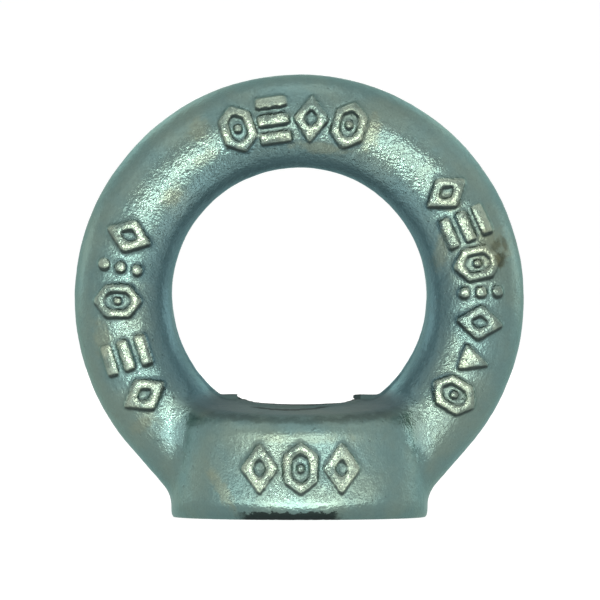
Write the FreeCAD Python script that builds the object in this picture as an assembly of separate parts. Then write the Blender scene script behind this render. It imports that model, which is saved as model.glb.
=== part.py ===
"""Lifting eye nut, M20 coarse, drop forged in one piece, trimmed, faced, drilled and tapped.

The object is one forging. A round bar is bent into a ring whose two straight legs run into a
round collar, and the collar carries the thread. The die opens along Y, so the parting plane is
the plane of the ring, and both end faces of the collar fall away from it by the die's draft.

The shape is made in the order in which the real one is made:
  forging    ring and legs, collar, and the blend where the legs enter the collar
  trimming   the outline is sheared all round, the eye is punched, a seam of flash stays in it
  machining  the bearing face is faced flat, the hole is drilled through, both mouths are opened

Frame: origin on the thread's axis in the bearing face, +Z up through the eye, ring in the XZ plane.
Lengths are millimetres and angles are degrees. The hole is left at the tapping size.
"""

import FreeCAD, Part

import math
import os

Vector = FreeCAD.Vector

# Thread and its mouths
THREAD_MAJOR_D = 20.0
THREAD_PITCH = 2.5
BEARING_MOUTH_D = 21.2
EYE_MOUTH_D = 19.3

# Ring, legs and eye
OVERALL_HEIGHT = 71.0
RING_OUTER_D = 72.0
BAR_D = 15.8
LEG_ANGLE = 131.0
EYE_D = 40.8
EYE_RISE = 0.7
EYE_FLAT_DROP = 16.0

# Collar
COLLAR_D = 41.1
FLOOR_CROWN_R = 12.0
RIM_R = 4.0
FACING_STOCK = 2.4
LEG_BLEND_R = 5.0

# Forging and trimming
DRAFT_ANGLE = 7.0
TRIM_DEPTH = 0.1
FLASH_HEIGHT = 0.7
FLASH_LAND = 1.6
FLASH_FLARE = 1.8

# Worked out from the sizes above
TAPPING_R = (THREAD_MAJOR_D - THREAD_PITCH) / 2
RING_CENTRE_Z = OVERALL_HEIGHT - RING_OUTER_D / 2
FORGED_OUTER_R = RING_OUTER_D / 2 + TRIM_DEPTH
FORGED_COLLAR_R = COLLAR_D / 2 + TRIM_DEPTH
BAR_R = BAR_D / 2
RING_R = FORGED_OUTER_R - BAR_R
EYE_R = EYE_D / 2
EYE_CENTRE_Z = RING_CENTRE_Z + EYE_RISE
FLASH_TOP_Z = EYE_CENTRE_Z - EYE_FLAT_DROP
FLOOR_Z = FLASH_TOP_Z - FLASH_HEIGHT
LEG_TURN = math.radians(LEG_ANGLE)
REACH = RING_OUTER_D + COLLAR_D


def plan(x, z, y=0.0):
    """Point given by its place in the plane of the ring."""
    return Vector(x, y, z)


def leg_direction(side):
    """Unit vector down a leg, away from the ring. The side is +1 at +X and -1 at -X."""
    return plan(side * math.cos(LEG_TURN), -math.sin(LEG_TURN))


def leg_outward(side):
    """Unit vector square to a leg, away from the eye."""
    return plan(side * math.sin(LEG_TURN), math.cos(LEG_TURN))


def leg_start(side, radius):
    """Point at a radius of the ring where the leg leaves the ring."""
    return plan(0, RING_CENTRE_Z) + leg_outward(side) * radius


def leg_end(side):
    """End of a leg's centre line, half way in from the collar's wall to the thread's axis."""
    start = leg_start(side, RING_R)
    down = leg_direction(side)
    return start + down * ((abs(start.x) - FORGED_COLLAR_R / 2) / abs(down.x))


def ring_with_legs():
    """Round bar along the ring's arc and straight on along both legs."""
    spine = Part.Wire([
        Part.makeLine(leg_end(-1), leg_start(-1, RING_R)),
        Part.Arc(leg_start(-1, RING_R), plan(0, RING_CENTRE_Z + RING_R), leg_start(1, RING_R)).toShape(),
        Part.makeLine(leg_start(1, RING_R), leg_end(1)),
    ])
    section = Part.Wire(Part.makeCircle(BAR_R, leg_end(-1), leg_direction(-1)))
    return spine.makePipeShell([section], True, True)


def roof(ridge_z):
    """Space under a low roof along X that falls away from the parting plane by the draft, with
    its ridge rounded. Both end faces of the collar are such roofs, the lower one upside down."""
    fall = REACH * math.tan(math.radians(DRAFT_ANGLE))
    corners = [
        (0, ridge_z),
        (REACH, ridge_z - fall),
        (REACH, -2 * REACH),
        (-REACH, -2 * REACH),
        (-REACH, ridge_z - fall),
    ]
    points = [plan(-REACH, z, y) for y, z in corners]
    profile = Part.Wire(Part.makePolygon(points + points[:1]))
    space = Part.Face(profile).extrude(Vector(2 * REACH, 0, 0))
    ridge = [e for e in space.Edges if e.CenterOfMass.isEqual(plan(0, ridge_z), 1e-3)]
    return space.makeFillet(FLOOR_CROWN_R, ridge)


def rounded_bar(low_z, ridge_z):
    """Round bar of the collar's diameter from a height up to a roof, with the upper rim rounded."""
    stock = Part.makeCylinder(FORGED_COLLAR_R, ridge_z - low_z, plan(0, low_z))
    solid = stock.common(roof(ridge_z))
    rim = []
    for edge in solid.Edges:
        on_wall = all(abs(math.hypot(v.X, v.Y) - FORGED_COLLAR_R) < 1e-3 for v in edge.Vertexes)
        if on_wall and edge.BoundBox.ZMin > low_z + 1e-3:
            rim.append(edge)
    return solid.makeFillet(RIM_R, rim)


def upside_down(solid):
    """The solid turned over about the X axis."""
    return solid.rotated(Vector(0, 0, 0), Vector(1, 0, 0), 180)


def lower_die():
    """Space that the dies leave the forging at its lower end: the drafted and rounded foot of
    the collar, and everything above the height where the foot's rounding starts."""
    foot = upside_down(rounded_bar(-REACH, FACING_STOCK))
    start = FACING_STOCK - RIM_R / math.cos(math.radians(DRAFT_ANGLE))
    return foot.fuse(upside_down(roof(start)))


def is_leg(face):
    """True for the round surface of a straight leg."""
    surface = face.Surface
    return isinstance(surface, Part.Cylinder) and abs(surface.Radius - BAR_R) < 1e-6


def valley_edges(solid):
    """Edges where a leg enters the collar, without the joints of the leg to the ring."""
    found = []
    for edge in solid.Edges:
        faces = solid.ancestorsOfType(edge, Part.Face)
        legs = [f for f in faces if is_leg(f)]
        others = [f for f in faces if not is_leg(f) and not isinstance(f.Surface, Part.Toroid)]
        if legs and others:
            found.append(edge)
    return found


def forging():
    """Ring, legs and collar in one, with the valleys where the legs enter the collar filled in
    before the lower end is shaped, so that the blends run out at that end as the legs do."""
    solid = ring_with_legs().fuse(rounded_bar(-REACH, FLOOR_Z)).removeSplitter().Solids[0]
    solid = solid.makeFillet(LEG_BLEND_R, valley_edges(solid))
    return solid.common(lower_die()).removeSplitter()


def blend_centre(side):
    """Centre of the blend between a leg's outer line and the collar's wall, in the ring's plane."""
    outward = leg_outward(side)
    x = side * (FORGED_COLLAR_R + LEG_BLEND_R)
    span = FORGED_OUTER_R + LEG_BLEND_R - outward.x * x
    return plan(x, RING_CENTRE_Z + span / outward.z)


def sheared_side(side):
    """Edges of the sheared outline on one side, from the ring down to below the bearing face."""
    centre = blend_centre(side)
    radius = LEG_BLEND_R + TRIM_DEPTH
    ring_point = leg_start(side, RING_OUTER_D / 2)
    leg_point = centre - leg_outward(side) * radius
    wall_point = centre - plan(side * radius, 0)
    half_way = (leg_point + wall_point) * 0.5 - centre
    bend_point = centre + half_way.normalize() * radius
    foot_point = plan(wall_point.x, -REACH)
    return [
        Part.makeLine(ring_point, leg_point),
        Part.Arc(leg_point, bend_point, wall_point).toShape(),
        Part.makeLine(wall_point, foot_point),
    ]


def sheared_outline():
    """Prism inside which the trimming die leaves the forging's metal."""
    right = sheared_side(1)
    left = sheared_side(-1)
    radius = RING_OUTER_D / 2
    crown = Part.Arc(leg_start(-1, radius), plan(0, OVERALL_HEIGHT), leg_start(1, radius))
    foot = Part.makeLine(left[-1].Vertexes[-1].Point, right[-1].Vertexes[-1].Point)
    edges = Part.sortEdges([crown.toShape(), foot] + left + right)[0]
    return through_prism(Part.Wire(edges))


def through_prism(wire):
    """Solid with the given outline in the ring's plane, through the full depth along Y."""
    solid = Part.Face(wire).extrude(Vector(0, 2 * REACH, 0))
    return solid.translated(Vector(0, -REACH, 0))


def eye_wire(growth=0.0, y=0.0):
    """Outline of the eye: a circle cut off flat above the floor, grown by an amount all round."""
    radius = EYE_R + growth
    floor_z = FLASH_TOP_Z - growth
    half = math.sqrt(radius ** 2 - (EYE_CENTRE_Z - floor_z) ** 2)
    left = plan(-half, floor_z, y)
    right = plan(half, floor_z, y)
    arc = Part.Arc(right, plan(0, EYE_CENTRE_Z + radius, y), left)
    return Part.Wire([arc.toShape(), Part.makeLine(left, right)])


def flash_seam():
    """Seam of flash left by the punch in the lower half of the eye. Its land is the punched
    edge, its sides flare out into the forging, and above the legs it is lost in the ring."""
    land = FLASH_LAND / 2
    foot = land + FLASH_FLARE
    width = 2 * EYE_R
    low = FLOOR_Z - RIM_R
    seam = Part.makeBox(width, 2 * foot, EYE_CENTRE_Z - low, plan(-width / 2, low, -foot))
    for y in (-land, land):
        flare = Part.makeLoft([eye_wire(0, y), eye_wire(FLASH_FLARE, math.copysign(foot, y))], True, True)
        seam = seam.cut(flare)
    return seam.cut(through_prism(eye_wire()))


def trimmed(solid):
    """The forging after its flash is sheared off outside and punched out of the eye."""
    solid = solid.common(sheared_outline())
    solid = solid.fuse(flash_seam())
    return solid.cut(through_prism(eye_wire()))


def mouth(diameter, z, up):
    """Cone that opens a mouth of the hole at 45 degrees, widest at a height."""
    radius = diameter / 2
    cone = Part.makeCone(0, radius, radius, plan(0, z - radius))
    if up:
        return cone
    return Part.makeCone(radius, 0, radius, plan(0, z))


def machined(solid):
    """The trimmed forging with its bearing face, its hole and both mouths cut."""
    chips = Part.makeBox(2 * REACH, 2 * REACH, REACH, plan(-REACH, -REACH, -REACH))
    hole = Part.makeCylinder(TAPPING_R, OVERALL_HEIGHT / 2, plan(0, -FACING_STOCK))
    tools = [chips, hole, mouth(EYE_MOUTH_D, FLASH_TOP_Z, True), mouth(BEARING_MOUTH_D, 0, False)]
    return solid.cut(tools)


def build():
    """The finished nut."""
    return machined(trimmed(forging())).removeSplitter().Solids[0]


if __name__ == "__main__":
    os.makedirs("parts", exist_ok=True)
    nut = build()
    print("solids", len(nut.Solids), "faces", len(nut.Faces), "valid", nut.isValid(), "mm3", nut.Volume)
    nut.exportStep("parts/eye_nut.step")
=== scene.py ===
"""Dresses the lifting eye nut for its picture.

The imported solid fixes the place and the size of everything. Its mesh is copied, raised marks are
forged into its front, the lip that the drill tore up is set on the hole's mouth, the skin gets the
unevenness of a blasted and plated forging, and the thread is tapped into the hole. The work is done
in millimetres, and the finished piece is in metres.
"""

from __future__ import annotations

import logging
import math
from dataclasses import dataclass, field
from enum import Enum
from functools import reduce
from typing import Callable, Sequence

import bpy
import numpy as np
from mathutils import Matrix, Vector
from mathutils.bvhtree import BVHTree

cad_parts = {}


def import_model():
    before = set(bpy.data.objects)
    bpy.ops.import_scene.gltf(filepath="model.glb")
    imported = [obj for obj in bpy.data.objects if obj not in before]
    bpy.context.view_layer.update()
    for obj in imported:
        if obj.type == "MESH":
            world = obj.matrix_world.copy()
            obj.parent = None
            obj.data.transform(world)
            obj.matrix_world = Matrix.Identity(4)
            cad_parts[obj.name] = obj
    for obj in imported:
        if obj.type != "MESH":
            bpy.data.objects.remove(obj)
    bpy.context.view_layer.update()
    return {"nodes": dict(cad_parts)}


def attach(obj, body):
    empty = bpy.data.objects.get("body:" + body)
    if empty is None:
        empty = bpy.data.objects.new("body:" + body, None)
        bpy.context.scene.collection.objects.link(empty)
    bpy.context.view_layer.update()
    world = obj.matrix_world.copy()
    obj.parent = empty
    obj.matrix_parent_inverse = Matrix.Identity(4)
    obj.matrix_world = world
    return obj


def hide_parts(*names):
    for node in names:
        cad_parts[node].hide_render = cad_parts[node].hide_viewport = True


LOG = logging.getLogger("eye_nut")
MM = 0.001
Colour = tuple[float, float, float]
Point = tuple[float, float, float]
Span = tuple[float, float]
BODY: Point = (0.0, 0.0, 0.035)
LAMP_SIDE = 0.36
WHITE: Colour = (1.0, 1.0, 1.0)
WARM: Colour = (1.0, 0.97, 0.88)


class Signal:
    """A node's output that can be reckoned with: expressions on it add Math nodes."""

    def __init__(self, graph: Graph, socket: bpy.types.NodeSocket | None) -> None:
        """Wraps a socket of a graph."""
        self.graph = graph
        self.socket = socket

    def _with(self, operation: str, *values: Signal | float) -> Signal:
        """Adds a Math node and returns its output."""
        return self.graph.node("ShaderNodeMath", {"operation": operation}, dict(enumerate(values)))

    def __abs__(self) -> Signal:
        """Size without the sign."""
        return self._with("ABSOLUTE", self)

    def sine(self) -> Signal:
        """Sine of the value in radians."""
        return self._with("SINE", self)

    def most(self, other: Signal | float) -> Signal:
        """The greater of two."""
        return self._with("MAXIMUM", self, other)

    def __add__(self, other: Signal | float) -> Signal:
        """Sum."""
        return self._with("ADD", self, other)

    def __radd__(self, other: float) -> Signal:
        """Sum, with the number first."""
        return self._with("ADD", other, self)

    def __sub__(self, other: Signal | float) -> Signal:
        """Difference."""
        return self._with("SUBTRACT", self, other)

    def __rsub__(self, other: float) -> Signal:
        """Difference, with the number first."""
        return self._with("SUBTRACT", other, self)

    def __mul__(self, other: Signal | float) -> Signal:
        """Product."""
        return self._with("MULTIPLY", self, other)

    def __rmul__(self, other: float) -> Signal:
        """Product, with the number first."""
        return self._with("MULTIPLY", other, self)

    def __truediv__(self, other: Signal | float) -> Signal:
        """Quotient."""
        return self._with("DIVIDE", self, other)

    def __rtruediv__(self, other: float) -> Signal:
        """Quotient, with the number first."""
        return self._with("DIVIDE", other, self)

    def __pow__(self, other: Signal | float) -> Signal:
        """Power."""
        return self._with("POWER", self, other)

    def above(self, low: float, high: float) -> Signal:
        """Smooth step that is 0 under the low value and 1 over the high one.

        Args:
            low: The value where it starts.
            high: The value where it ends.

        Returns:
            The step.
        """
        settings = {"interpolation_type": "SMOOTHSTEP", "clamp": True}
        inputs = {"Value": self, "From Min": low, "From Max": high}
        return self.graph.node("ShaderNodeMapRange", settings, inputs)

    def below(self, low: float, high: float) -> Signal:
        """Smooth step that is 1 under the low value and 0 over the high one."""
        return 1 - self.above(low, high)


class Graph:
    """Builds one node tree."""

    def __init__(self, tree: bpy.types.NodeTree) -> None:
        """Clears the tree and starts on it."""
        self.tree = tree
        tree.nodes.clear()

    def node(
        self,
        kind: str,
        settings: dict | None = None,
        inputs: dict | None = None,
        output: str | int = 0,
    ) -> Signal:
        """Adds a node.

        Args:
            kind: The node's type.
            settings: Its properties, which are set first.
            inputs: The values or links of its sockets, by name or number.
            output: The output that is returned, by name or number.

        Returns:
            That output as a signal.
        """
        made = self.tree.nodes.new(kind)
        for name, value in (settings or {}).items():
            setattr(made, name, value)
        for key, value in (inputs or {}).items():
            if isinstance(value, Signal):
                self.tree.links.new(value.socket, made.inputs[key])
            else:
                made.inputs[key].default_value = value
        return Signal(self, made.outputs[output] if len(made.outputs) else None)

    def blend(self, share: Signal | float, first: Signal | Colour, second: Signal | Colour) -> Signal:
        """Mixes two colours by a share of the second."""
        inputs = {0: share, 6: self._colour(first), 7: self._colour(second)}
        return self.node("ShaderNodeMix", {"data_type": "RGBA"}, inputs, 2)

    def dim(self, colour: Signal, share: Signal) -> Signal:
        """Multiplies a colour by a share."""
        return self.node("ShaderNodeVectorMath", {"operation": "SCALE"}, {0: colour, "Scale": share})

    def place(self) -> Signal:
        """The point on the object, in millimetres."""
        point = self.node("ShaderNodeTexCoord", output="Object")
        return self.node("ShaderNodeVectorMath", {"operation": "SCALE"}, {0: point, "Scale": 1 / MM})

    def axis(self, name: str) -> Signal:
        """One coordinate of that point."""
        return self.node("ShaderNodeSeparateXYZ", None, {0: self.place()}, name)

    def noise(self, size: float, detail: float = 2.0, rough: float = 0.5, seed: float = 0.0) -> Signal:
        """Cloudy noise.

        Args:
            size: The size of its clouds in millimetres.
            detail: How many finer octaves it has.
            rough: How strong those octaves are.
            seed: The slice that is taken, so that two noises differ.

        Returns:
            The noise, about 0 to 1.
        """
        inputs = {"Vector": self.place(), "W": seed, "Scale": 1 / size}
        inputs |= {"Detail": detail, "Roughness": rough}
        return self.node("ShaderNodeTexNoise", {"noise_dimensions": "4D"}, inputs)

    def waver(self, size: float, detail: float, rough: float, seed: float) -> Signal:
        """Noise that swings evenly about zero."""
        return self.noise(size, detail, rough, seed) - 0.5

    def front(self, low: float, high: float) -> Signal:
        """Smooth step from 0 to 1 between two distances in front of the ring's plane."""
        return (0 - self.axis("Y")).above(low, high)

    def bump(self, depth: float, height: Signal) -> Signal:
        """The bumpy normal of a height whose 1 stands for a depth in millimetres."""
        inputs = {"Strength": 1.0, "Distance": depth * MM, "Height": height}
        return self.node("ShaderNodeBump", None, inputs)

    def seen(self) -> Signal:
        """1 for rays from the camera and for what metal or glass shows, 0 for light that spreads.

        Returns:
            That number.
        """
        camera = self.node("ShaderNodeLightPath", output="Is Camera Ray")
        glossy = self.node("ShaderNodeLightPath", output="Is Glossy Ray")
        clear = self.node("ShaderNodeLightPath", output="Is Transmission Ray")
        return camera.most(glossy).most(clear)

    def attribute(self, name: str) -> Signal:
        """A number stored on the mesh."""
        return self.node("ShaderNodeAttribute", {"attribute_name": name}, output="Fac")

    @staticmethod
    def _colour(value: Signal | Colour) -> Signal | tuple:
        """A colour with its alpha, or the signal as it is."""
        return value if isinstance(value, Signal) else (*value, 1.0)


def surface(name: str) -> tuple[bpy.types.Material, Graph]:
    """A new material with an empty graph.

    Args:
        name: The material's name.

    Returns:
        The material and the graph of its nodes.
    """
    material = bpy.data.materials.new(name)
    material.use_nodes = True
    return material, Graph(material.node_tree)


@dataclass(frozen=True)
class Stain:
    """A soft patch on the front, discoloured or made lighter as painted highlight, with its place in the
    plane of the ring in millimetres.
    """

    x: float
    z: float
    width: float
    height: float
    strength: float
    lean: float = 0.0


@dataclass(frozen=True)
class Scale:
    """Painted shade at the front of the foot: a ragged, nearly black band low on the rounded edge."""

    middle: float = -1.5
    reach: Span = (6.4, 8.9)
    height: Span = (1.15, 1.35)
    front: Span = (14.0, 16.0)
    waver_across: float = 4.0
    waver_up: float = 2.4
    strength: float = 0.97

    def share(self, g: Graph) -> Signal:
        """The share of painted shade at each point.

        Args:
            g: The material's graph.

        Returns:
            The share, 0 to 1.
        """
        waver = g.waver(1.3, 4.0, 0.75, 8.0)
        low = (g.axis("Z") + waver * self.waver_up).below(*self.height)
        off = abs(g.axis("X") - self.middle) + waver * self.waver_across
        return low * off.below(*self.reach) * g.front(*self.front) * self.strength


@dataclass(frozen=True)
class MouthShadeAndLine:
    """Painted shade at the edge of the hole's mouth, and a dark line in front of it on the collar's floor.
    """

    line_z: float = 17.5
    line_middle: float = -1.5
    line_bend: float = 0.012
    line_waver: float = 0.35
    line_width: Span = (0.05, 0.17)
    line_front: Span = (8.0, 10.0)
    line_centre: float = -2.4
    line_reach: Span = (6.0, 8.0)
    line_strength: float = 0.80
    mouth_radius: Span = (9.75, 10.05)
    mouth_front: Span = (2.0, 5.0)
    mouth_narrowing: float = 0.5
    mouth_low: Span = (17.2, 17.4)
    mouth_high: Span = (22.0, 24.0)
    mouth_strength: float = 0.70

    def line(self, g: Graph) -> Signal:
        """The share of black along the line.

        Args:
            g: The material's graph.

        Returns:
            The share, 0 to 1.
        """
        off = g.axis("X") - self.line_middle
        waver = g.waver(1.2, 3.0, 0.75, 10.0) * self.line_waver
        height = g.axis("Z") - self.line_z - off * off * self.line_bend + waver
        beside = g.front(*self.line_front) * abs(g.axis("X") - self.line_centre).below(*self.line_reach)
        return abs(height).below(*self.line_width) * beside * self.line_strength

    def mouth(self, g: Graph) -> Signal:
        """The share of painted shade at the edge of the mouth, which is narrower at the front.

        Args:
            g: The material's graph.

        Returns:
            The share, 0 to 1.
        """
        x, y, z = (g.axis(name) for name in "XYZ")
        radius = (x * x + y * y) ** 0.5 + g.front(*self.mouth_front) * self.mouth_narrowing
        height = z.above(*self.mouth_low) * z.below(*self.mouth_high)
        return radius.below(*self.mouth_radius) * height * self.mouth_strength

    def share(self, g: Graph) -> Signal:
        """The share of black of both."""
        return self.line(g).most(self.mouth(g))


@dataclass(frozen=True)
class CreaseShade:
    """Painted shade along the bend between the collar's floor and its front."""

    height: float = 15.9
    bend: float = 0.0045
    waver: float = 2.2
    width: Span = (0.1, 0.8)
    front: Span = (10.0, 13.0)
    reach: Span = (14.0, 18.0)
    strength: float = 0.42

    def share(self, g: Graph) -> Signal:
        """The share of painted shade at each point.

        Args:
            g: The material's graph.

        Returns:
            The share, 0 to 1.
        """
        x = g.axis("X")
        waver = g.waver(1.8, 4.0, 0.7, 11.0) * self.waver
        off = abs(g.axis("Z") - self.height - x * x * self.bend + waver)
        return off.below(*self.width) * g.front(*self.front) * abs(x).below(*self.reach) * self.strength


@dataclass(frozen=True)
class ForgedZinc:
    """Shot blasted forging skin under zinc plate: blue-green grey, grainy, tan where it is proud.

    The fields after the sizes of the grain say how strongly each colour is laid on, and how much
    darker or lighter than the rest a place is. Part of that is painted: painted shade inside the eye,
    in hollows, along the crease, under the marks, on the collar's floor, at the front of the foot and
    at the hole's mouth, and painted highlight on a few patches.
    """

    cool: Colour = (0.106, 0.175, 0.168)
    warm: Colour = (0.130, 0.185, 0.160)
    # Painted shade: the darker, bluer tone inside the eye.
    eye_shade: Colour = (0.070, 0.132, 0.152)
    tan: Colour = (0.172, 0.200, 0.150)
    straw: Colour = (0.220, 0.215, 0.120)
    brown: Colour = (0.034, 0.034, 0.014)
    # Black for painted shade and for the pits.
    shade_and_pit_black: Colour = (0.010, 0.017, 0.017)
    rim: Colour = (0.64, 0.84, 0.80)
    metallic: float = 0.92
    roughness: float = 0.31
    polish: float = 0.15
    grain: float = 0.34
    grain_depth: float = 0.12
    # Painted shade: how far the colour inside the eye turns to the darker, bluer tone.
    eye_shade_share: float = 0.85
    straw_faded: float = 0.32
    tan_least: float = 0.25
    tan_cloudy: float = 0.45
    brown_stain: float = 0.22
    brown_rust: float = 0.85
    # Painted shade in hollows.
    hollow_shade: float = 0.30
    # Painted shade on the lower sides of the marks.
    underside_shade: float = 0.92
    soot_pits: float = 0.35
    darker_around: float = 0.06
    # Painted shade on the collar's floor.
    ledge_shade: float = 0.42
    # Painted shade: a darker band where the skin turns into the eye.
    eye_shade_band: float = 0.56
    lighter_relief: float = 0.50
    # Painted highlight on the highlight patches.
    highlight_lift: float = 0.95
    ragged: float = 1.8
    ragged_size: float = 1.6
    rust_size: float = 0.8
    patch_edge: Span = (0.35, 1.15)
    patch_front: Span = (0.0, 2.0)
    # Painted shade at the front of the foot.
    scale: Scale = field(default_factory=Scale)
    # Painted shade at the edge of the hole's mouth, and a dark line in front of it.
    mouth_shade_and_line: MouthShadeAndLine = field(default_factory=MouthShadeAndLine)
    # Painted shade along the crease.
    crease_shade: CreaseShade = field(default_factory=CreaseShade)
    faded: tuple[Stain, ...] = (
        Stain(-16.2, 62.4, 2.4, 2.0, 0.8, 35.0),
        Stain(-15.0, 57.8, 3.4, 1.3, 0.7, 32.0),
        Stain(-20.4, 51.5, 2.4, 1.8, 0.7, 45.0),
        Stain(-31.6, 29.0, 1.8, 3.6, 0.8, 10.0),
        Stain(-25.0, 15.5, 2.8, 1.6, 0.7, 40.0),
        Stain(-12.4, 4.9, 1.2, 5.0, 0.9, 30.0),
        Stain(11.6, 62.0, 1.7, 3.6, 1.0, -20.0),
        Stain(3.8, 59.3, 5.8, 1.1, 0.9, -5.0),
        Stain(23.6, 50.8, 2.6, 1.6, 0.9, -35.0),
        Stain(22.8, 43.3, 1.5, 4.4, 0.8, -12.0),
        Stain(30.4, 43.4, 3.4, 3.8, 1.0, 0.0),
        Stain(0.5, 13.2, 9.0, 1.0, 0.5, 0.0),
    )
    # Painted highlight: patches that are made lighter, and also smoother.
    polish_and_highlight: tuple[Stain, ...] = (
        Stain(-20.1, 13.8, 2.1, 4.8, 0.75, -15.0),
        Stain(18.9, 14.0, 2.3, 5.6, 1.0, 20.0),
        Stain(0.0, 2.6, 8.5, 1.4, 0.42),
    )
    rusted: tuple[Stain, ...] = (
        Stain(32.2, 41.4, 1.2, 1.5, 1.0, 10.0),
        Stain(31.4, 43.6, 1.0, 1.6, 0.7, -20.0),
        Stain(32.8, 44.0, 0.6, 1.5, 0.6, 20.0),
        Stain(29.6, 45.6, 0.9, 0.9, 0.5, 0.0),
    )

    def patches(self, g: Graph, stains: Sequence[Stain], ragged_size: float) -> Signal:
        """The share of a discolouration at each point.

        Args:
            g: The material's graph.
            stains: The patches that it has.
            ragged_size: The size of the ragged places at their edges, in millimetres.

        Returns:
            Their share, 0 to 1, ragged at the edges and only on the front.
        """
        x, z = g.axis("X"), g.axis("Z")
        ragged = g.waver(ragged_size, 4.0, 0.7, 9.0) * self.ragged
        shares = []
        for stain in stains:
            turn = math.radians(stain.lean)
            along = ((x - stain.x) * math.cos(turn) + (z - stain.z) * math.sin(turn)) / stain.width
            across = ((z - stain.z) * math.cos(turn) - (x - stain.x) * math.sin(turn)) / stain.height
            reach = (along * along + across * across) ** 0.5 + ragged
            shares.append(reach.below(*self.patch_edge) * stain.strength)
        return reduce(Signal.most, shares) * g.front(*self.patch_front)

    def material(self) -> bpy.types.Material:
        """The finish as a material.

        Returns:
            The material.
        """
        material, g = surface("forged_zinc")
        names = ("relief", "crest", "among", "hollow", "under", "inside", "ledge")
        relief, crest, among, hollow, under, inside, ledge = (g.attribute(name) for name in names)
        drift = g.noise(9.0, 3.0, 0.55, 1.0)
        cloud = g.noise(3.2, 4.0, 0.6, 2.0)
        grain = g.noise(self.grain, 1.0, 0.5, 3.0)
        fleck = g.noise(0.72, 1.0, 0.5, 4.0)
        stain = g.noise(6.0, 5.0, 0.65, 5.0).above(0.60, 0.72)
        pits = g.noise(0.55, 1.0, 0.5, 6.0).above(0.68, 0.76)
        faded = self.patches(g, self.faded, self.ragged_size)
        # Painted highlight: these patches are made lighter where the legs meet the collar and low on the
        # collar's front, and they are also smoother.
        polish_and_highlight = self.patches(g, self.polish_and_highlight, self.ragged_size)
        rust = self.patches(g, self.rusted, self.rust_size)
        crest = crest.most(polish_and_highlight.above(0.0, 0.5))
        around = among * (1 - relief)
        # Painted shade: this share turns the colour toward black in hollows, along the crease, on the lower
        # sides of the marks, at the front of the foot and at the edge of the hole's mouth. It also holds
        # the dark line in front of the mouth.
        dark = (hollow.above(0.2, 1.0) * self.hollow_shade).most(self.crease_shade.share(g))
        dark = dark.most(under * self.underside_shade).most(self.scale.share(g)).most(self.mouth_shade_and_line.share(g))

        base = g.blend(drift.above(0.35, 0.65), self.cool, self.warm)
        # Painted shade: inside the eye the colour turns darker and bluer.
        base = g.blend(inside * self.eye_shade_share, base, self.eye_shade)
        base = g.blend(faded * self.straw_faded, base, self.straw)
        tanned = relief * (cloud.above(0.36, 0.60) * self.tan_cloudy + self.tan_least)
        base = g.blend(tanned, base, self.tan)
        base = g.blend((stain * self.brown_stain).most(rust * self.brown_rust), base, self.brown)
        base = g.blend(dark, base, self.shade_and_pit_black)
        base = g.blend(pits * self.soot_pits, base, self.shade_and_pit_black)
        share = (0.80 + grain * 0.24 + fleck * 0.16) * (1 - around * self.darker_around)
        share = share * (1 + relief * (cloud.above(0.42, 0.60) * self.lighter_relief - 0.08))
        # Painted shade darkens the collar's floor under the ring, and painted highlight lightens the
        # highlight patches.
        share = share * (1 - ledge * self.ledge_shade) * (1 + polish_and_highlight * self.highlight_lift)
        # Painted shade: a darker band where the skin turns from the front into the eye.
        base = g.dim(base, share * (1 - inside * (1 - inside) * self.eye_shade_band))

        height = (grain + fleck * 1.1 + cloud * 0.4 - pits * 0.8) * (0.38 + crest * 0.62)
        dull = stain * 0.1 + rust * 0.4 + dark * 0.5 + ledge * 0.4 - crest * self.polish + polish_and_highlight * 0.04
        bare = self.metallic - stain * 0.25 - pits * 0.2 - rust * 0.3 - dark * 0.4 - ledge * 0.7
        inputs = {
            "Base Color": base,
            "Metallic": bare,
            "Roughness": self.roughness + cloud * 0.10 + around * 0.05 + dull,
            "Specular Tint": (*self.rim, 1.0),
            "Normal": g.bump(self.grain_depth, height),
        }
        shader = g.node("ShaderNodeBsdfPrincipled", None, inputs)
        g.node("ShaderNodeOutputMaterial", None, {"Surface": shader})
        return material


@dataclass(frozen=True)
class TurnedZinc:
    """Machined steel under zinc plate, with the fine rings that the facing tool leaves."""

    colour: Colour = (0.330, 0.400, 0.390)
    shade: float = 0.72
    metallic: float = 0.95
    roughness: float = 0.30
    feed: float = 0.22
    depth: float = 0.004

    def material(self) -> bpy.types.Material:
        """The finish as a material.

        Returns:
            The material.
        """
        material, g = surface("turned_zinc")
        flatten = {0: g.place(), 1: (1.0, 1.0, 0.0)}
        flat = g.node("ShaderNodeVectorMath", {"operation": "MULTIPLY"}, flatten)
        radius = g.node("ShaderNodeVectorMath", {"operation": "LENGTH"}, {0: flat}, "Value")
        rings = (radius * (math.tau / self.feed)).sine()
        cloud = g.noise(2.4, 3.0, 0.6, 7.0)
        darker = tuple(part * self.shade for part in self.colour)
        inputs = {
            "Base Color": g.blend(cloud.above(0.35, 0.7), self.colour, darker),
            "Metallic": self.metallic,
            "Roughness": self.roughness + cloud * 0.15,
            "Normal": g.bump(self.depth, rings * 0.5 + cloud * 1.5),
        }
        shader = g.node("ShaderNodeBsdfPrincipled", None, inputs)
        g.node("ShaderNodeOutputMaterial", None, {"Surface": shader})
        return material


@dataclass(frozen=True)
class PlainFloor:
    """Plain white floor. It is white to the camera and keeps the object's shadow."""

    colour: Colour = (0.80, 0.80, 0.80)
    glow: float = 1.42
    share: float = 0.6

    def material(self) -> bpy.types.Material:
        """The finish as a material.

        Returns:
            The material.
        """
        material, g = surface("plain_floor")
        sight = g.seen()
        inputs = {"Base Color": (*self.colour, 1.0), "Roughness": 0.9, "Specular IOR Level": 0.1}
        matt = g.node("ShaderNodeBsdfPrincipled", None, inputs)
        white = g.node("ShaderNodeEmission", None, {"Color": (*WHITE, 1.0), "Strength": self.glow})
        mixed = g.node("ShaderNodeMixShader", None, {0: sight * self.share, 1: matt, 2: white})
        g.node("ShaderNodeOutputMaterial", None, {"Surface": mixed})
        return material


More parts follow.
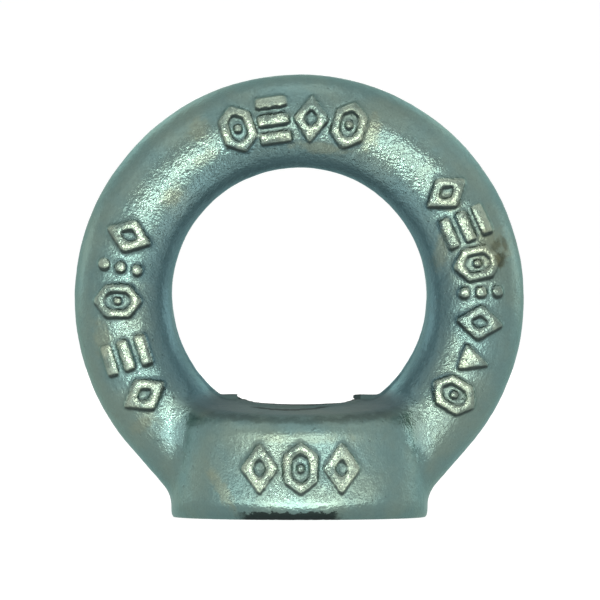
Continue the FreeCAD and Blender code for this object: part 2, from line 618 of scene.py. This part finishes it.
class Bench:
    """The operators that the pieces are modelled with."""

    @staticmethod
    def pick(*pieces: bpy.types.Object) -> bpy.types.Object:
        """Selects only these pieces and makes the first one active.

        Args:
            *pieces: The pieces.

        Returns:
            The first one.
        """
        if bpy.context.object and bpy.context.object.mode != "OBJECT":
            bpy.ops.object.mode_set(mode="OBJECT")
        bpy.ops.object.select_all(action="DESELECT")
        for piece in pieces:
            piece.select_set(True)
        bpy.context.view_layer.objects.active = pieces[0]
        return pieces[0]

    @staticmethod
    def apply(piece: bpy.types.Object, kind: str, **settings: object) -> None:
        """Adds a modifier with its settings and applies it.

        Args:
            piece: The piece.
            kind: The modifier's type.
            **settings: Its properties.
        """
        Bench.pick(piece)
        bpy.ops.object.modifier_add(type=kind)
        modifier = piece.modifiers[-1]
        for name, value in settings.items():
            setattr(modifier, name, value)
        bpy.ops.object.modifier_apply(modifier=modifier.name)

    @staticmethod
    def freeze(piece: bpy.types.Object) -> None:
        """Applies the piece's place, turn and scale to its mesh."""
        Bench.pick(piece)
        bpy.ops.object.transform_apply(location=True, rotation=True, scale=True)

    @staticmethod
    def join(pieces: Sequence[bpy.types.Object], name: str) -> bpy.types.Object:
        """Joins pieces into the first one.

        Args:
            pieces: The pieces.
            name: The name of the whole.

        Returns:
            The whole.
        """
        Bench.pick(*pieces)
        bpy.ops.object.join()
        pieces[0].name = name
        return pieces[0]

    @staticmethod
    def copy(piece: bpy.types.Object, name: str, factor: float = 1.0) -> bpy.types.Object:
        """A copy with its own mesh, merged, and scaled about the origin.

        Args:
            piece: What is copied.
            name: The copy's name.
            factor: How much larger it is.

        Returns:
            The copy.
        """
        twin = bpy.data.objects.new(name, piece.data.copy())
        bpy.context.scene.collection.objects.link(twin)
        Bench.pick(twin)
        bpy.ops.object.mode_set(mode="EDIT")
        bpy.ops.mesh.select_all(action="SELECT")
        bpy.ops.transform.resize(value=(factor,) * 3, center_override=(0, 0, 0))
        bpy.ops.mesh.remove_doubles(threshold=1e-4 if factor > 1 else 1e-7)
        bpy.ops.object.mode_set(mode="OBJECT")
        return twin

    @staticmethod
    def grown(forging: bpy.types.Object, proud: float) -> bpy.types.Object:
        """A copy of the forging whose skin stands proud by some millimetres.

        Args:
            forging: The plain forging, in millimetres.
            proud: How far its skin is moved out.

        Returns:
            The copy.
        """
        twin = Bench.copy(forging, "grown")
        Bench.apply(twin, "DISPLACE", strength=proud, mid_level=0.0)
        return twin

    @staticmethod
    def select_points(piece: bpy.types.Object, test: Callable[[Vector], bool]) -> None:
        """Selects the points of a piece that pass a test, and leaves it in edit mode.

        Args:
            piece: The piece.
            test: Says of a point's place whether it is selected.
        """
        Bench.pick(piece)
        bpy.ops.object.mode_set(mode="EDIT")
        bpy.ops.mesh.select_mode(type="VERT")
        bpy.ops.mesh.select_all(action="DESELECT")
        bpy.ops.object.mode_set(mode="OBJECT")
        for vertex in piece.data.vertices:
            vertex.select = test(vertex.co)
        bpy.ops.object.mode_set(mode="EDIT")


class Sign(Enum):
    """Plain shapes that the dies raise on the front of the forging."""

    HEXAGON = "hexagon outline round a dot"
    DIAMOND = "diamond outline"
    BARS = "three short bars"
    DOTS = "three round dots in a row"
    PEAK = "solid triangle"


@dataclass(frozen=True)
class Mark:
    """One raised mark, with its place in the plane of the ring in millimetres.

    The turn is the ring's angle in degrees from the top, so that the mark stands along the radius.
    The depths are where its blocks start and end along Y, in front of the skin and behind it.
    """

    sign: Sign
    x: float
    z: float
    turn: float = 0.0
    width: float = 5.3
    height: float = 8.0
    stroke: float = 1.5
    depths: Span = (-12.0, -2.0)

    def centre(self, along: float, out: float, y: float) -> Point:
        """A point of the mark given along its width and along its height.

        Args:
            along: Its distance from the middle along the width.
            out: Its distance from the middle along the height.
            y: Its place across the plane of the ring.

        Returns:
            The point, in millimetres.
        """
        turn = math.radians(self.turn)
        x = self.x + along * math.cos(turn) + out * math.sin(turn)
        z = self.z - along * math.sin(turn) + out * math.cos(turn)
        return (x, y, z)


@dataclass
class Relief:
    """The raised marks: flat blanks that are cut to the skin of a slightly grown forging."""

    proud: float = 0.80
    ring_radius: float = 29.1
    ring_z: float = 35.0
    collar_z: float = 8.3
    collar_depths: Span = (-24.0, -12.0)
    marks: list[Mark] = field(default_factory=list)

    def __post_init__(self) -> None:
        """Lays the marks out along the ring and on the collar's front."""
        ring = [
            (-19.8, Sign.HEXAGON),
            (-8.2, Sign.BARS),
            (3.7, Sign.DIAMOND),
            (15.9, Sign.HEXAGON),
            (-69.4, Sign.DIAMOND),
            (-79.6, Sign.DOTS),
            (-90.4, Sign.HEXAGON),
            (-107.8, Sign.BARS),
            (-121.5, Sign.DIAMOND),
            (54.0, Sign.DIAMOND),
            (66.2, Sign.BARS),
            (78.4, Sign.HEXAGON),
            (87.6, Sign.DOTS),
            (97.2, Sign.DIAMOND),
            (109.2, Sign.PEAK),
            (121.6, Sign.HEXAGON),
        ]
        for angle, sign in ring:
            turn = math.radians(angle)
            x = self.ring_radius * math.sin(turn)
            z = self.ring_z + self.ring_radius * math.cos(turn)
            self.marks.append(Mark(sign, x, z, angle))
        for x, sign in ((-6.4, Sign.DIAMOND), (0.2, Sign.HEXAGON), (6.8, Sign.DIAMOND)):
            mark = Mark(sign, x, self.collar_z, 0.0, 5.6, 8.5, 1.6, self.collar_depths)
            self.marks.append(mark)

    def blank(
        self, mark: Mark, sides: int, width: float, height: float, **extra: float
    ) -> bpy.types.Object:
        """A block whose outline is a polygon that stands up in front of the forging.

        Args:
            mark: The mark that it belongs to.
            sides: The number of the polygon's sides.
            width: Its width across the mark.
            height: Its height along the mark.
            **extra: spin in degrees, along and out from the mark's centre, and the outline's stroke.

        Returns:
            The block, from in front of the skin to behind it.
        """
        front, back = mark.depths
        bpy.ops.object.select_all(action="DESELECT")
        bpy.ops.mesh.primitive_circle_add(vertices=sides, radius=0.5, fill_type="NGON")
        block = bpy.context.object
        block.rotation_euler.z = math.radians(extra.get("spin", 0.0))
        Bench.freeze(block)
        spread = max(v.co.x for v in block.data.vertices), max(v.co.y for v in block.data.vertices)
        block.scale = (width / 2 / spread[0], height / 2 / spread[1], 1.0)
        Bench.freeze(block)
        bpy.ops.object.mode_set(mode="EDIT")
        bpy.ops.mesh.select_all(action="SELECT")
        if "stroke" in extra:
            bpy.ops.mesh.inset(thickness=extra["stroke"], depth=0.0)
            bpy.ops.mesh.delete(type="FACE")
            bpy.ops.mesh.select_all(action="SELECT")
        bpy.ops.mesh.extrude_region_move(TRANSFORM_OT_translate={"value": (0, 0, back - front)})
        bpy.ops.mesh.select_all(action="SELECT")
        bpy.ops.mesh.normals_make_consistent(inside=False)
        bpy.ops.object.mode_set(mode="OBJECT")
        block.rotation_euler = (math.pi / 2, math.radians(mark.turn), 0.0)
        block.location = mark.centre(extra.get("along", 0.0), extra.get("out", 0.0), back)
        Bench.freeze(block)
        return block

    def blocks(self, mark: Mark) -> list[bpy.types.Object]:
        """The blocks that make up one mark.

        Args:
            mark: The mark.

        Returns:
            Its blocks.
        """
        width, height, stroke = mark.width, mark.height, mark.stroke
        if mark.sign is Sign.HEXAGON:
            return [self.blank(mark, 6, width, height, stroke=stroke * 0.84), self.dot(mark, size=1.4)]
        if mark.sign is Sign.DIAMOND:
            return [self.blank(mark, 4, width * 1.1, height, stroke=stroke * 0.94)]
        if mark.sign is Sign.BARS:
            rows = (-height * 0.36, 0.0, height * 0.36)
            return [self.blank(mark, 4, width * 0.95, stroke * 1.2, spin=45.0, out=row) for row in rows]
        if mark.sign is Sign.DOTS:
            return [self.dot(mark, row) for row in (-height * 0.34, 0.0, height * 0.34)]
        return [self.blank(mark, 3, width * 0.86, height * 0.82)]

    def dot(self, mark: Mark, out: float = 0.0, size: float = 1.9) -> bpy.types.Object:
        """A round dot of a mark."""
        return self.blank(mark, 12, size, size, out=out)

    def build(self, forging: bpy.types.Object) -> bpy.types.Object:
        """Cuts the blocks to the skin.

        Args:
            forging: The plain forging, in millimetres.

        Returns:
            All marks as one mesh that is rooted in the forging.
        """
        pieces = [block for mark in self.marks for block in self.blocks(mark)]
        marks = Bench.join(pieces, "marks")
        grown = Bench.grown(forging, self.proud)
        Bench.apply(marks, "BOOLEAN", object=grown, operation="INTERSECT", solver="EXACT", use_self=True)
        bpy.data.objects.remove(grown)
        return marks


@dataclass
class Lip:
    """The metal that the drill has torn up round the front of the hole's mouth, and a burr beside it."""

    proud: float = 0.45
    inner_radius: float = 8.6
    outer_radius: float = 9.9
    middle_z: float = 18.6
    depth: float = 4.0
    back: float = -2.0
    waste: float = 30.0
    burr_place: Point = (9.5, 0.0, 18.95)
    burr_size: Point = (1.8, 1.8, 1.4)

    def disc(self, radius: float) -> bpy.types.Object:
        """A round bar on the hole's axis, from inside the collar to above its floor.

        Args:
            radius: Its radius.

        Returns:
            The bar.
        """
        bpy.ops.object.select_all(action="DESELECT")
        place = (0.0, 0.0, self.middle_z)
        bpy.ops.mesh.primitive_cylinder_add(vertices=64, radius=radius, depth=self.depth, location=place)
        return bpy.context.object

    def cube(self, place: Point, size: Point) -> bpy.types.Object:
        """A cube, for the waste behind the lip or for the burr.

        Args:
            place: Its middle.
            size: Its three sides.

        Returns:
            The cube.
        """
        bpy.ops.object.select_all(action="DESELECT")
        bpy.ops.mesh.primitive_cube_add(size=1, location=place, scale=size)
        return bpy.context.object

    def build(self, forging: bpy.types.Object) -> bpy.types.Object:
        """Cuts a part of a tube to the skin of a slightly grown forging.

        Args:
            forging: The plain forging, in millimetres.

        Returns:
            The lip and the burr as one mesh that is rooted in the forging.
        """
        lip = self.disc(self.outer_radius)
        hole = self.disc(self.inner_radius)
        hole.scale.z = 2.0
        Bench.freeze(hole)
        rear = self.cube((0.0, self.back + self.waste / 2, self.middle_z), (self.waste,) * 3)
        grown = Bench.grown(forging, self.proud)
        for tool, operation in ((hole, "DIFFERENCE"), (rear, "DIFFERENCE"), (grown, "INTERSECT")):
            Bench.apply(lip, "BOOLEAN", object=tool, operation=operation, solver="EXACT")
            bpy.data.objects.remove(tool)
        return Bench.join([lip, self.cube(self.burr_place, self.burr_size)], "lip")


@dataclass
class Tap:
    """The cutter of the thread's groove: a wedge that is swept along a helix."""

    major_radius: float = 10.0
    pitch: float = 2.5
    root_flat: float = 0.3125
    flank: float = 30.0
    inner_radius: float = 8.35
    low: float = -1.75
    turns: int = 10
    steps: int = 72

    def build(self) -> bpy.types.Object:
        """The cutter, round the thread's axis, in millimetres.

        Returns:
            The cutter.
        """
        depth = self.major_radius - self.inner_radius
        mouth = self.root_flat + 2 * depth * math.tan(math.radians(self.flank))
        bpy.ops.object.select_all(action="DESELECT")
        centre = (self.inner_radius + depth / 2, 0.0, self.low)
        bpy.ops.mesh.primitive_plane_add(size=1, location=centre, rotation=(math.pi / 2, 0, 0))
        cutter = bpy.context.object
        cutter.scale = (depth, mouth, 1.0)
        Bench.freeze(cutter)
        Bench.select_points(cutter, lambda p: p.x > self.major_radius - 0.01)
        tip = (self.major_radius, 0.0, self.low)
        bpy.ops.transform.resize(value=(1, 1, self.root_flat / mouth), center_override=tip)
        bpy.ops.mesh.select_all(action="SELECT")
        bpy.ops.mesh.delete(type="ONLY_FACE")
        bpy.ops.object.mode_set(mode="OBJECT")
        Bench.apply(
            cutter,
            "SCREW",
            axis="Z",
            screw_offset=self.pitch,
            iterations=self.turns,
            steps=self.steps,
            render_steps=self.steps,
            use_normal_calculate=True,
        )
        Bench.pick(cutter)
        bpy.ops.object.mode_set(mode="EDIT")
        bpy.ops.mesh.select_all(action="SELECT")
        bpy.ops.mesh.fill_holes(sides=4)
        bpy.ops.mesh.select_all(action="SELECT")
        bpy.ops.mesh.normals_make_consistent(inside=False)
        bpy.ops.object.mode_set(mode="OBJECT")
        cutter.name = "tap"
        return cutter


def ramp(values: np.ndarray, start: float, length: float, least: float = 0.0) -> np.ndarray:
    """Straight step that is least up to its start, and 1 from a length further on."""
    return np.clip((values - start) / length, least, 1)


class Survey:
    """The points of the nut's mesh, one row a point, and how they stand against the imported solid."""

    front: float = -2.0

    def __init__(self, mesh: bpy.types.Mesh, solid: BVHTree) -> None:
        """Reads the mesh.

        Args:
            mesh: The mesh, in millimetres.
            solid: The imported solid's faces.
        """
        self.mesh = mesh
        self.solid = solid
        self.place = self._vectors("co")
        self.normals = self._vectors("normal")
        self.radius = np.hypot(self.place[:, 0], self.place[:, 1])
        ends = np.empty(len(mesh.edges) * 2, dtype=int)
        mesh.edges.foreach_get("vertices", ends)
        self.links = tuple(ends.reshape(-1, 2).T)

    def _vectors(self, name: str) -> np.ndarray:
        """A vector of each point.

        Args:
            name: What the mesh calls it.

        Returns:
            The vectors, one row a point.
        """
        flat = np.empty(len(self.mesh.vertices) * 3)
        self.mesh.vertices.foreach_get(name, flat)
        return flat.reshape(-1, 3)

    def stand(self) -> tuple[np.ndarray, np.ndarray]:
        """Measures the front of the mesh against the solid.

        Returns:
            How far each point stands proud, and the solid's normal beside it.
        """
        proud = np.zeros(len(self.place))
        plain = self.normals.copy()
        for index in np.nonzero(self.place[:, 1] < self.front)[0]:
            point = Vector(self.place[index])
            found, normal, _, distance = self.solid.find_nearest(point)
            if (point - found).dot(normal) > 0:
                proud[index] = distance
            plain[index] = normal
        return proud, plain

    def spread(self, values: np.ndarray, rings: int) -> np.ndarray:
        """Carries each point's value to the points around it, where it is the greater one.

        Args:
            values: A value for each point.
            rings: How many edges far it is carried.

        Returns:
            The new values.
        """
        a, b = self.links
        for _ in range(rings):
            wider = values.copy()
            np.maximum.at(wider, a, values[b])
            np.maximum.at(wider, b, values[a])
            values = wider
        return values

    def number(self) -> np.ndarray:
        """How many edges meet at each point."""
        ends = sum(np.bincount(end, minlength=len(self.place)) for end in self.links)
        return np.maximum(ends, 1)

    def even(self, values: np.ndarray, own: float, rounds: int) -> np.ndarray:
        """Mixes each point's value with the mean of the points around it.

        Args:
            values: A value for each point.
            own: The share of its own value that a point keeps in each round.
            rounds: How often that is done.

        Returns:
            The new values.
        """
        a, b = self.links
        count = len(values)
        number = self.number()
        for _ in range(rounds):
            around = np.bincount(a, values[b], count) + np.bincount(b, values[a], count)
            values = own * values + (1 - own) * around / number
        return values

    def bend(self) -> np.ndarray:
        """How steeply the mesh rises round each point: above 0 in a hollow, under 0 on a ridge.

        Returns:
            The mean rise to the points around it.
        """
        a, b = self.links
        count = len(self.place)
        step = self.place[b] - self.place[a]
        length = np.maximum(np.linalg.norm(step, axis=1), 1e-6)
        rise = np.bincount(a, np.einsum("ij,ij->i", step, self.normals[a]) / length, count)
        rise -= np.bincount(b, np.einsum("ij,ij->i", step, self.normals[b]) / length, count)
        return rise / self.number()

    def store(self, name: str, values: np.ndarray) -> None:
        """Keeps a value for each point on the mesh, where the finish reads it."""
        layer = self.mesh.attributes.new(name, "FLOAT", "POINT")
        layer.data.foreach_set("value", values.astype(np.float32))


@dataclass(frozen=True)
class Chart:
    """Works out for the finish which points lie on the marks, in the eye, on the floor and so on."""

    eye_z: float = 35.7
    eye_reach: float = 34.0
    floor_z: float = 20.5
    floor_radius: float = 21.0
    collar_radius: float = 21.5
    collar: Span = (10.0, 20.0)
    crest_z: float = 13.2

    def inside(self, survey: Survey) -> np.ndarray:
        """Where the skin faces the middle of the eye, away from the collar's floor.

        Args:
            survey: The dressed forging's points.

        Returns:
            The share, 0 to 1.
        """
        place = survey.place
        inward = np.stack([-place[:, 0], np.zeros(len(place)), self.eye_z - place[:, 2]], axis=1)
        reach = np.maximum(np.linalg.norm(inward, axis=1), 1e-6)
        facing = np.einsum("ij,ij->i", inward, survey.normals) / reach
        off_floor = np.maximum(np.abs(place[:, 0]) - 6, place[:, 2] - 16)
        return ramp(facing, 0.25, 0.5) * ramp(self.eye_reach - reach, 0, 4) * ramp(off_floor, 0, 9)

    def ledge(self, survey: Survey) -> np.ndarray:
        """Where the collar's floor faces up.

        Args:
            survey: The dressed forging's points.

        Returns:
            The share, 0 to 1.
        """
        level = ramp(survey.normals[:, 2], 0.60, 0.30)
        within = ramp(self.floor_radius - survey.radius, 0, 1)
        return level * (survey.place[:, 2] < self.floor_z) * within

    def crest(self, survey: Survey, plain: np.ndarray) -> np.ndarray:
        """Where the solid faces the front or the back, less so at the top of the collar's wall.

        Args:
            survey: The dressed forging's points.
            plain: The solid's normal beside each point.

        Returns:
            The share, 0 to 1.
        """
        height = survey.place[:, 2]
        low, high = self.collar
        upper = (survey.radius < self.collar_radius) & (height > low) & (height < high)
        faded = ramp(self.crest_z - height, 0, 1.4, 0.3)
        return ramp(np.abs(plain[:, 1]), 0.80, 0.16) * np.where(upper, faded, 1)

    def draw(self, survey: Survey) -> None:
        """Stores on the mesh where it is proud, hollow, undercut, inside the eye and on the floor.

        Args:
            survey: The dressed forging's points.
        """
        proud, plain = survey.stand()
        relief = ramp(proud, 0.2, 0.3)
        under = ramp(plain[:, 2] - survey.normals[:, 2], 0.22, 0.28)
        survey.store("relief", relief)
        survey.store("among", survey.even(survey.spread(relief, 7), 0.3, 12))
        survey.store("crest", self.crest(survey, plain))
        # The finish paints shade in the hollows.
        survey.store("hollow", np.clip(survey.even(survey.bend(), 0.4, 4) / 0.10, -1, 1))
        # The finish paints shade on the lower sides of the marks.
        survey.store("under", under * survey.spread(relief, 4))
        # The finish paints shade where the skin faces into the eye.
        survey.store("inside", self.inside(survey))
        # The finish paints shade on the collar's floor.
        survey.store("ledge", self.ledge(survey))


@dataclass(frozen=True)
class Wave:
    """One unevenness of the forged skin. Its size and depth are in millimetres."""

    name: str
    size: float
    depth: float
    octaves: int


@dataclass
class Forging:
    """The whole nut as one piece: skin, marks, torn lip, faced underside and tapped hole."""

    relief: Relief = field(default_factory=Relief)
    lip: Lip = field(default_factory=Lip)
    tap: Tap = field(default_factory=Tap)
    chart: Chart = field(default_factory=Chart)
    voxel: float = 0.24
    rounding: int = 24
    rounded_from: float = 0.15
    waves: tuple[Wave, ...] = (
        Wave("lumps", 11.0, 0.20, 1),
        Wave("dents", 2.6, 0.10, 2),
        Wave("blast", 0.9, 0.05, 1),
    )
    most_triangles: int = 170_000
    facing_z: float = 0.03
    chips: float = 60.0
    tapped_radius: float = 10.05
    tapped_top: float = 17.3
    smooth_angle: float = 40.0
    skin: ForgedZinc = field(default_factory=ForgedZinc)
    cut: TurnedZinc = field(default_factory=TurnedZinc)

    def plain(self, node: bpy.types.Object) -> bpy.types.Object:
        """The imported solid's mesh as a closed shell in millimetres."""
        return Bench.copy(node, "eye_nut_forging", 1 / MM)

    def round_marks(self, piece: bpy.types.Object, solid: BVHTree) -> None:
        """Rounds the marks, and the skin close to them.

        Args:
            piece: The forging with its marks, in millimetres.
            solid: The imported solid's faces.
        """
        Bench.apply(piece, "SMOOTH", factor=0.5, iterations=5)
        group = piece.vertex_groups.new(name="rounded")
        survey = Survey(piece.data, solid)
        near = survey.spread(survey.stand()[0] > self.rounded_from, 4)
        group.add(np.nonzero(near)[0].tolist(), 1.0, "REPLACE")
        Bench.apply(piece, "SMOOTH", factor=0.5, iterations=self.rounding, vertex_group="rounded")

    def roughen(self, piece: bpy.types.Object, solid: BVHTree) -> None:
        """Gives the forged skin its unevenness, and leaves the machined faces even.

        Args:
            piece: The forging with its marks, in millimetres.
            solid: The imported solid's faces.
        """
        group = piece.vertex_groups.new(name="forged")
        survey = Survey(piece.data, solid)
        height = survey.place[:, 2]
        share = ramp(height, 0.2, 1.5) * ramp(survey.radius, 9.3, 1.2)
        share = np.where(height > 21, 1.0, share)
        for step in range(1, 11):
            chosen = np.nonzero(np.round(share * 10) == step)[0]
            group.add(chosen.tolist(), step / 10, "REPLACE")
        for wave in self.waves:
            texture = bpy.data.textures.new(wave.name, "CLOUDS")
            texture.noise_scale = wave.size
            texture.noise_depth = wave.octaves
            settings = {"texture": texture, "strength": wave.depth, "mid_level": 0.5}
            Bench.apply(piece, "DISPLACE", **settings, vertex_group="forged")

    def thin(self, piece: bpy.types.Object) -> None:
        """Takes triangles away where the skin is even.

        Args:
            piece: The forging, in millimetres.
        """
        now = sum(len(p.vertices) - 2 for p in piece.data.polygons)
        if now > self.most_triangles:
            Bench.apply(piece, "DECIMATE", ratio=self.most_triangles / now)

    def machine(self, piece: bpy.types.Object) -> None:
        """Faces the underside flat and taps the hole.

        Args:
            piece: The forging, in millimetres.
        """
        bpy.ops.object.select_all(action="DESELECT")
        place = (0, 0, self.facing_z - self.chips / 2)
        bpy.ops.mesh.primitive_cube_add(size=self.chips, location=place)
        facing = bpy.context.object
        for tool in (facing, self.tap.build()):
            Bench.apply(piece, "BOOLEAN", object=tool, operation="DIFFERENCE", solver="EXACT")
            bpy.data.objects.remove(tool)

    def dress(self, piece: bpy.types.Object) -> None:
        """Gives the skin and the machined faces their materials.

        Args:
            piece: The forging, in millimetres.
        """
        mesh = piece.data
        mesh.materials.clear()
        mesh.materials.append(self.skin.material())
        mesh.materials.append(self.cut.material())
        for face in mesh.polygons:
            x, y, z = face.center
            radius = math.hypot(x, y)
            outward = face.normal.x * x + face.normal.y * y
            faced = z < 2 * self.facing_z and face.normal.z < -0.9
            tapped = radius < self.tapped_radius and 0 < z < self.tapped_top and outward < 0.2 * radius
            face.material_index = 1 if faced or tapped else 0

    def build(self, node: bpy.types.Object) -> bpy.types.Object:
        """Models and dresses the nut.

        Args:
            node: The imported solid.

        Returns:
            The finished piece, in metres, with its place in its mesh.
        """
        piece = self.plain(node)
        mesh = piece.data
        shell = BVHTree.FromPolygons([v.co for v in mesh.vertices], [p.vertices for p in mesh.polygons])
        marks = self.relief.build(piece)
        lip = self.lip.build(piece)
        LOG.info("%d marks and the lip cut to the skin", len(self.relief.marks))
        piece = Bench.join([piece, marks, lip], "eye_nut_forging")
        Bench.apply(piece, "REMESH", mode="VOXEL", voxel_size=self.voxel)
        self.round_marks(piece, shell)
        self.roughen(piece, shell)
        self.thin(piece)
        self.machine(piece)
        self.chart.draw(Survey(piece.data, shell))
        self.dress(piece)
        Bench.pick(piece)
        bpy.ops.object.shade_smooth_by_angle(angle=math.radians(self.smooth_angle))
        piece.scale = (MM, MM, MM)
        Bench.freeze(piece)
        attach(piece, "root")
        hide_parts("eye_nut")
        LOG.info("forging: %d faces", len(piece.data.polygons))
        return piece


@dataclass(frozen=True)
class Lamp:
    """A soft rectangular lamp that the camera doesn't see. Its strength is 1 where it looks white."""

    name: str
    place: Point
    target: Point
    width: float
    height: float
    strength: float
    colour: Colour = WHITE

    @staticmethod
    def around(name: str, rise: float, turn: float, strength: float, colour: Colour = WHITE) -> Lamp:
        """A lamp of the usual size, a metre from the nut.

        Args:
            name: The lamp's name.
            rise: Its angle above the floor in degrees.
            turn: Its angle from the front in degrees, to the right.
            strength: Its strength.
            colour: Its colour.

        Returns:
            The lamp, turned to the nut.
        """
        up, right = math.radians(rise), math.radians(turn)
        way = (math.cos(up) * math.sin(right), -math.cos(up) * math.cos(right), math.sin(up))
        place = tuple(start + step for start, step in zip(BODY, way))
        return Lamp(name, place, BODY, LAMP_SIDE, LAMP_SIDE, strength, colour)

    def build(self) -> None:
        """Adds the lamp."""
        data = bpy.data.lights.new(self.name, "AREA")
        data.shape = "RECTANGLE"
        data.size = self.width
        data.size_y = self.height
        data.energy = self.strength * math.pi * self.width * self.height
        data.color = self.colour
        lamp = bpy.data.objects.new(self.name, data)
        bpy.context.scene.collection.objects.link(lamp)
        lamp.location = self.place
        lamp.rotation_euler = (Vector(self.target) - Vector(self.place)).to_track_quat("-Z", "Y").to_euler()
        lamp.visible_camera = False


@dataclass
class Studio:
    """Floor, light and camera."""

    reach: float = 4.2
    pitch: float = 1.2
    sensor: float = 36.0
    sight: float = 100.0
    floor_side: float = 60.0
    frame_width: float = 0.0962
    diffuse_sky: float = 0.45
    aim: Point = (0.0001, 0.0, 0.0348)
    lamps: tuple[Lamp, ...] = (
        Lamp.around("front", 6.0, 0.0, 4.7, WARM),
        Lamp.around("front_right", 6.0, 20.0, 7.5, WARM),
        Lamp.around("front_left", 6.0, -20.0, 1.3, WARM),
        Lamp.around("window", 6.0, -40.0, 3.3, WARM),
        Lamp.around("above_front", 24.0, 15.0, 1.9),
        Lamp.around("above_left", 24.0, -75.0, 0.6),
        Lamp.around("above_right", 24.0, 75.0, 0.6),
        Lamp.around("high_front", 48.0, 0.0, 1.4),
        Lamp.around("high_left", 48.0, -60.0, 1.6),
        Lamp.around("high_right", 48.0, 60.0, 1.1),
        Lamp.around("ceiling", 89.0, 0.0, 2.4),
        Lamp.around("left_back", 8.0, -118.0, 1.4),
        Lamp.around("right_back", 8.0, 118.0, 2.0),
        Lamp.around("right_high_back", 40.0, 110.0, 0.9),
        Lamp.around("back", 4.0, 180.0, 2.2, WARM),
        Lamp.around("back_left", 30.0, -150.0, 1.5),
        Lamp.around("back_right", 30.0, 150.0, 1.2),
        Lamp("low_left", (-0.09, -0.30, 0.008), (-0.09, 0.0, 0.008), 0.10, 0.0145, 46.0, WARM),
        Lamp("low_right", (0.09, -0.07, 0.025), (0.09, 0.0, 0.025), 0.10, 0.02, 1.3),
        Lamp("table_left", (-0.09, -0.25, 0.0004), (-0.09, -0.25, 1.0), 0.10, 0.14, 12.4, WARM),
        Lamp("table_right", (0.09, -0.25, 0.0004), (0.09, -0.25, 1.0), 0.10, 0.14, 5.5, WARM),
        Lamp("foot", (0.0, -0.02475, 0.0004), (0.0, -0.02475, 1.0), 0.08, 0.0065, 4.2, WARM),
        Lamp("foot_left", (-0.09, -0.034, 0.0004), (-0.09, -0.034, 1.0), 0.10, 0.012, 1.6),
        Lamp("foot_right", (0.09, -0.034, 0.0004), (0.09, -0.034, 1.0), 0.10, 0.012, 0.7),
        Lamp("leg_left", (-0.040, -0.055, 0.0004), (-0.040, -0.055, 1.0), 0.03, 0.03, 3.0),
        Lamp("leg_right", (0.040, -0.055, 0.0004), (0.040, -0.055, 1.0), 0.03, 0.03, 4.0),
    )

    def floor(self) -> bpy.types.Object:
        """The floor that the nut stands on.

        Returns:
            The floor.
        """
        bpy.ops.object.select_all(action="DESELECT")
        bpy.ops.mesh.primitive_grid_add(x_subdivisions=4, y_subdivisions=4, size=self.floor_side)
        floor = bpy.context.object
        floor.name = "floor"
        floor.data.materials.append(PlainFloor().material())
        return floor

    def sky(self) -> None:
        """A plain white surrounding that lights the object evenly."""
        world = bpy.data.worlds.new("surrounding")
        bpy.context.scene.world = world
        world.use_nodes = True
        g = Graph(world.node_tree)
        seen = g.seen()
        strength = self.diffuse_sky + seen * (1.0 - self.diffuse_sky)
        shine = g.node("ShaderNodeBackground", None, {"Color": (*WHITE, 1.0), "Strength": strength})
        g.node("ShaderNodeOutputWorld", None, {"Surface": shine})

    def camera(self) -> None:
        """The long lens from the front, looking slightly down."""
        data = bpy.data.cameras.new("portrait")
        data.sensor_width = self.sensor
        data.lens = self.sensor * self.reach / self.frame_width
        data.clip_end = self.sight
        camera = bpy.data.objects.new("portrait", data)
        bpy.context.scene.collection.objects.link(camera)
        pitch = math.radians(self.pitch)
        back = Vector((0.0, -math.cos(pitch), math.sin(pitch)))
        camera.location = Vector(self.aim) + back * self.reach
        camera.rotation_euler = (-back).to_track_quat("-Z", "Y").to_euler()
        bpy.context.scene.camera = camera

    def build(self) -> None:
        """Sets up the whole studio."""
        self.floor()
        self.sky()
        for lamp in self.lamps:
            lamp.build()
        self.camera()
        bpy.context.scene.view_settings.view_transform = "Standard"
        LOG.info("studio: floor, %d lamps and camera", len(self.lamps))


def main() -> None:
    """Builds the dressed nut and its studio."""
    logging.basicConfig(level=logging.INFO, format="%(name)s: %(message)s")
    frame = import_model()
    Forging().build(frame["nodes"]["eye_nut"])
    Studio().build()


if __name__ == "__main__":
    main()
